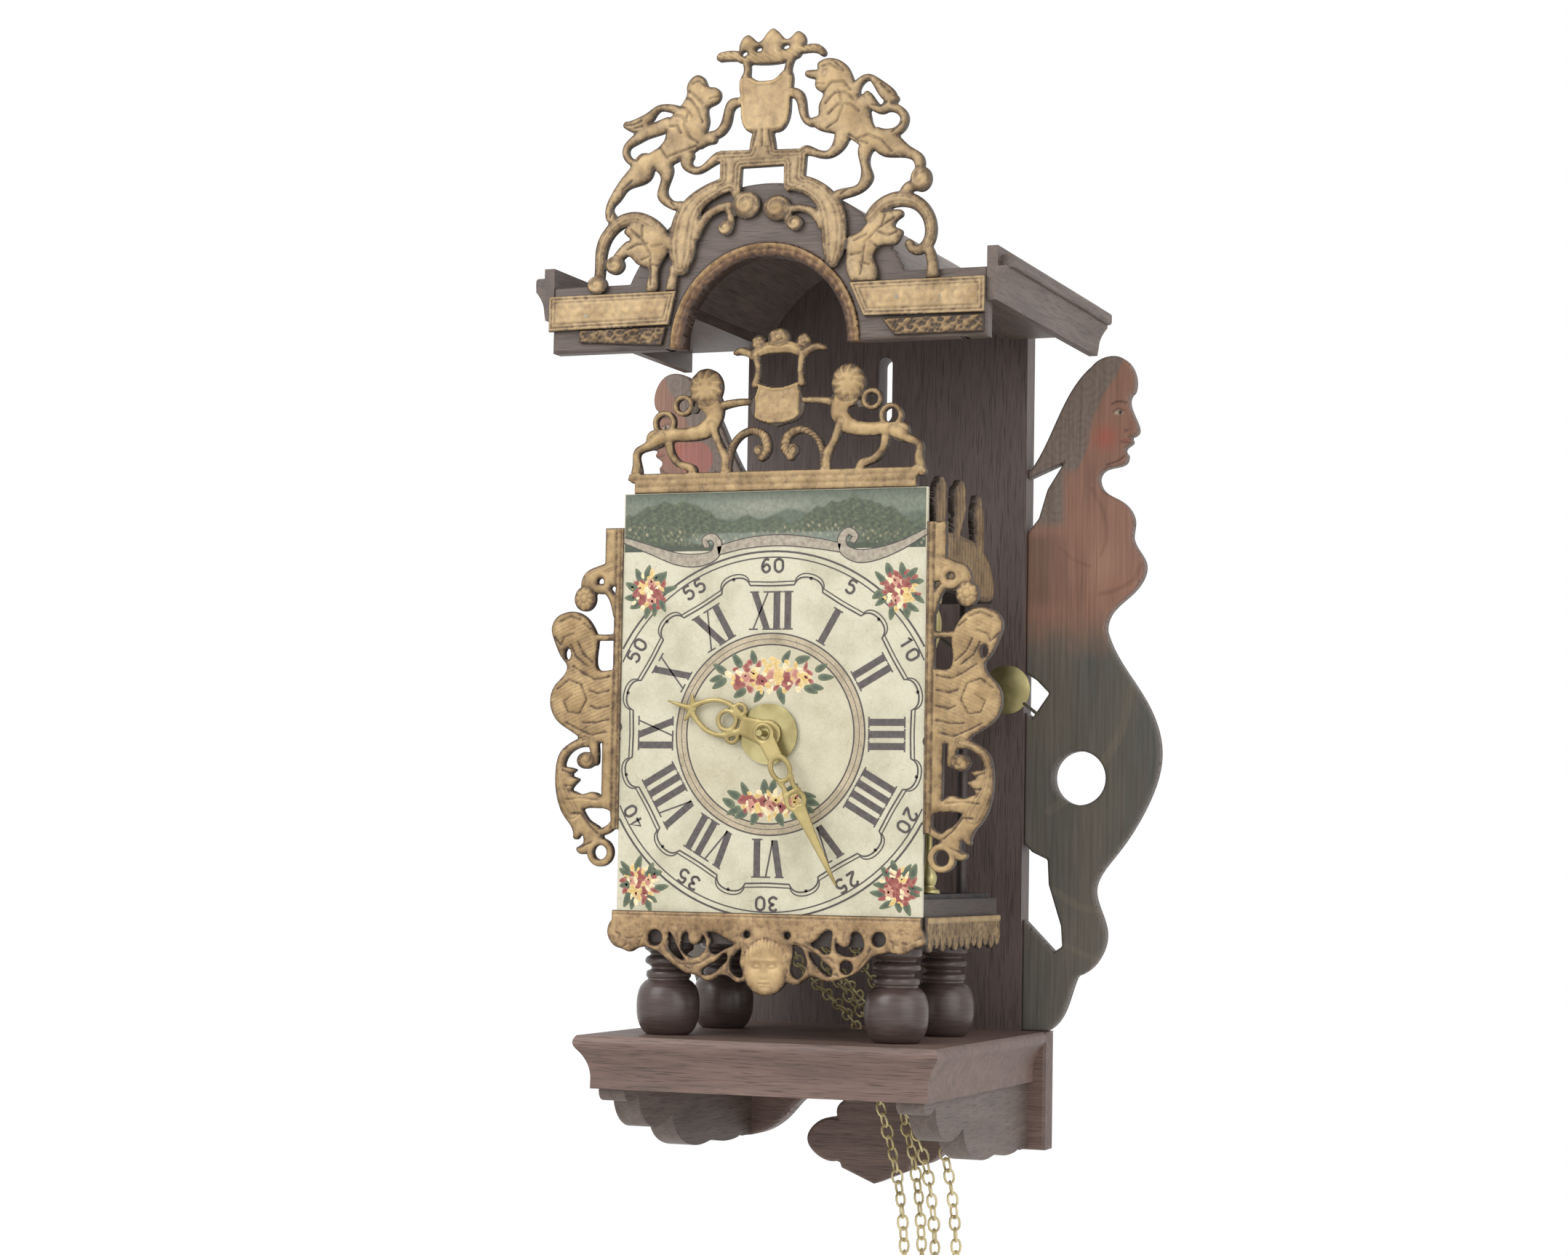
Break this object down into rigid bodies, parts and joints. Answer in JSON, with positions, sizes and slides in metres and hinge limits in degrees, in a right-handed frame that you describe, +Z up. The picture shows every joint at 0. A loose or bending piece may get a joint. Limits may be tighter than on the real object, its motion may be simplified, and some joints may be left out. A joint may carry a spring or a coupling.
{
  "type": "wall chair clock",
  "caption": "Wall clock on an oak chair with hood, carved mermaid wings and shelf: painted dial, cast gilt frets, two-train chain-driven movement, bell and short pendulum.",
  "frame": {"origin": "top of the hanging slot in the back board, at the wall plane", "axes": "+Z up, +X to the viewer's right, +Y into the wall; the dial faces -Y"},
  "size_m": [0.398, 0.2572, 0.8257],
  "materials": {
    "oak": "old oak, waxed, dark",
    "painted_wood": "carved wood with old paint",
    "gilt_lead": "cast lead with worn gilding",
    "dial_paint": "painted iron sheet, aged satin",
    "iron": "blackened",
    "brass": "aged, satin",
    "dark_wood": "stained nearly black, satin",
    "steel": "dull",
    "bell_metal": "turned bell metal"
  },
  "bodies": {
    "case": {"back_board": "oak", "lower_apron": "oak", "wing_left": "painted_wood", "wing_right": "painted_wood", "shelf": "oak", "shelf_brackets": "oak", "hood_front": "oak", "arch_edging": "gilt_lead", "hood_vault": "oak", "hood_decks": "oak", "cornice_left": "oak", "cornice_right": "oak", "cornice_fillets": "oak", "hood_gilt_bars": "gilt_lead", "hood_trim_strips": "brass", "hood_fret": "gilt_lead", "nails": "iron", "base_board": "oak", "turned_feet": "dark_wood", "bottom_plate": "iron", "top_plate": "iron", "front_pillars": "brass", "rear_posts": "iron", "front_bar": "iron", "middle_bar": "iron", "rear_bar": "iron", "dial_plate": "dial_paint", "dial_fret_top": "gilt_lead", "side_fret_left": "gilt_lead", "side_fret_right": "gilt_lead", "dial_fret_bottom": "gilt_lead", "side_valances": "gilt_lead", "side_galleries": "gilt_lead", "verge_cocks": "iron", "bell": "bell_metal", "bell_stand": "iron", "going_chain": "brass", "strike_chain": "brass", "chain_ends": "brass"},
    "great": {"great_wheel": "brass"},
    "going_sprocket_body": {"going_sprocket": "brass"},
    "centre": {"centre_wheel": "brass", "minute_hand": "brass"},
    "minute": {"minute_wheel": "brass"},
    "hour": {"hour_wheel": "brass", "hand_disc": "brass", "hour_hand": "brass"},
    "contrate": {"contrate_wheel": "brass"},
    "crown": {"crown_wheel": "brass"},
    "pendulum": {"verge": "steel", "pendulum_rod": "steel", "pendulum_bob": "brass"},
    "strike_great": {"strike_great_wheel": "brass"},
    "strike_sprocket_body": {"strike_sprocket": "brass"},
    "pin": {"pin_wheel": "brass"},
    "hoop": {"hoop_wheel": "brass"},
    "fly_body": {"fly": "steel"},
    "count": {"count_wheel": "brass"},
    "hammer_body": {"hammer": "steel"},
    "lifter": {"lifting_lever": "steel"}
  },
  "joints": [
    {"name": "centre_spin", "type": "hinge", "parent": "case", "child": "centre", "pos_m": [0, -0.19, -0.269], "axis": [0, 1, 0], "continuous": true},
    {"name": "great_spin", "type": "hinge", "parent": "case", "child": "great", "pos_m": [0, -0.175, -0.32], "axis": [0, 1, 0], "continuous": true},
    {"name": "going_sprocket_spin", "type": "hinge", "parent": "great", "child": "going_sprocket_body", "pos_m": [0, -0.166, -0.32], "axis": [0, 1, 0], "continuous": true},
    {"name": "minute_wheel_spin", "type": "hinge", "parent": "case", "child": "minute", "pos_m": [0, -0.215, -0.289], "axis": [0, 1, 0], "continuous": true},
    {"name": "hour_spin", "type": "hinge", "parent": "case", "child": "hour", "pos_m": [0, -0.222, -0.269], "axis": [0, 1, 0], "continuous": true},
    {"name": "contrate_spin", "type": "hinge", "parent": "case", "child": "contrate", "pos_m": [0, -0.162, -0.233], "axis": [0, 1, 0], "continuous": true},
    {"name": "crown_spin", "type": "hinge", "parent": "case", "child": "crown", "pos_m": [0, -0.17, -0.173], "axis": [0, 0, 1], "continuous": true},
    {"name": "pendulum_swing", "type": "hinge", "parent": "case", "child": "pendulum", "pos_m": [0, -0.06, -0.153], "axis": [0, -1, 0], "range_deg": [-112, 6]},
    {"name": "pin_spin", "type": "hinge", "parent": "case", "child": "pin", "pos_m": [0, -0.125, -0.269], "axis": [0, 1, 0], "continuous": true},
    {"name": "strike_great_spin", "type": "hinge", "parent": "case", "child": "strike_great", "pos_m": [0, -0.137, -0.32], "axis": [0, 1, 0], "continuous": true},
    {"name": "strike_sprocket_spin", "type": "hinge", "parent": "strike_great", "child": "strike_sprocket_body", "pos_m": [0, -0.115, -0.32], "axis": [0, 1, 0], "continuous": true},
    {"name": "hoop_spin", "type": "hinge", "parent": "case", "child": "hoop", "pos_m": [0, -0.145, -0.233], "axis": [0, 1, 0], "continuous": true},
    {"name": "fly_spin", "type": "hinge", "parent": "case", "child": "fly_body", "pos_m": [0, -0.125, -0.2006], "axis": [0, 1, 0], "continuous": true},
    {"name": "count_spin", "type": "hinge", "parent": "case", "child": "count", "pos_m": [-0.0336, -0.0907, -0.32], "axis": [0, 1, 0], "continuous": true},
    {"name": "hammer_swing", "type": "hinge", "parent": "case", "child": "hammer_body", "pos_m": [0.058, -0.125, -0.219], "axis": [0, 1, 0], "range_deg": [0, 6]},
    {"name": "lifter_swing", "type": "hinge", "parent": "case", "child": "lifter", "pos_m": [0.006, -0.214, -0.345], "axis": [0, 1, 0], "range_deg": [-6, 0]}
  ],
  "couplings": [
    {"joint": "great_spin", "follows": "centre_spin", "ratio": -0.13333},
    {"joint": "minute_wheel_spin", "follows": "centre_spin", "ratio": -0.33333},
    {"joint": "hour_spin", "follows": "centre_spin", "ratio": 0.083333},
    {"joint": "contrate_spin", "follows": "centre_spin", "ratio": -9},
    {"joint": "crown_spin", "follows": "centre_spin", "ratio": 54},
    {"joint": "strike_great_spin", "follows": "pin_spin", "ratio": -0.13333},
    {"joint": "hoop_spin", "follows": "pin_spin", "ratio": -9},
    {"joint": "fly_spin", "follows": "pin_spin", "ratio": 72},
    {"joint": "count_spin", "follows": "pin_spin", "ratio": 0.022222}
  ]
}
